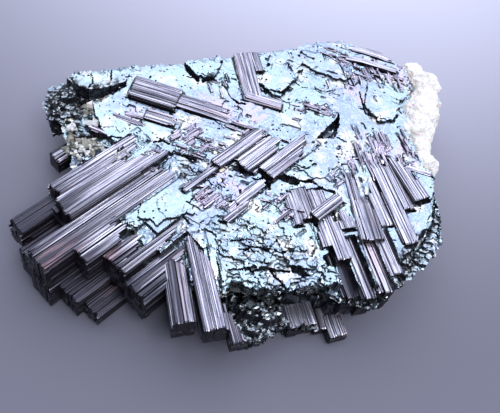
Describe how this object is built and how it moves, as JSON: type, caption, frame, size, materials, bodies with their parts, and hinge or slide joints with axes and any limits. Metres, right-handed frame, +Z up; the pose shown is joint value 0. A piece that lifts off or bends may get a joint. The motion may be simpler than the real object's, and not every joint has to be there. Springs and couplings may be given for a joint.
{
  "type": "rutile on hematite specimen",
  "caption": "Flat hematite crystal plate with striated rutile blades grown along its directions, and white feldspar at one edge.",
  "frame": {"origin": "middle of the specimen's outline on the surface that it lies on", "axes": "+Z up, out of the plate's crystal face; +X to the right along the plate's upper blades; +Y to the far edge"},
  "size_m": [0.0432, 0.0416, 0.0078],
  "materials": {
    "hematite": "bright natural crystal faces with a blue to silver lustre, as a mirror in places",
    "rutile": "striated adamantine crystal faces, near black with a lavender-grey sheen",
    "white_feldspar": "matt white lumps",
    "pocket_quartz": "clear to greyish glassy grains, broken",
    "cream_feldspar": "matt cream grains"
  },
  "bodies": {
    "root": {"hematite_plate": "hematite", "rutile_left_sheaf": "rutile", "rutile_centre_bars": "rutile", "rutile_low_bars": "rutile", "rutile_right_sheaf": "rutile", "rutile_front_fan": "rutile", "rutile_upper_blades": "rutile", "rutile_second_blade": "rutile", "rutile_elbow": "rutile", "rutile_far_blade": "rutile", "rutile_rim_blade": "rutile", "rutile_stub": "rutile", "rutile_front_wall": "rutile", "feldspar_lump": "white_feldspar", "quartz_pocket": "pocket_quartz", "pale_grain": "white_feldspar", "cream_grain": "cream_feldspar", "centre_grain": "cream_feldspar"}
  },
  "joints": []
}
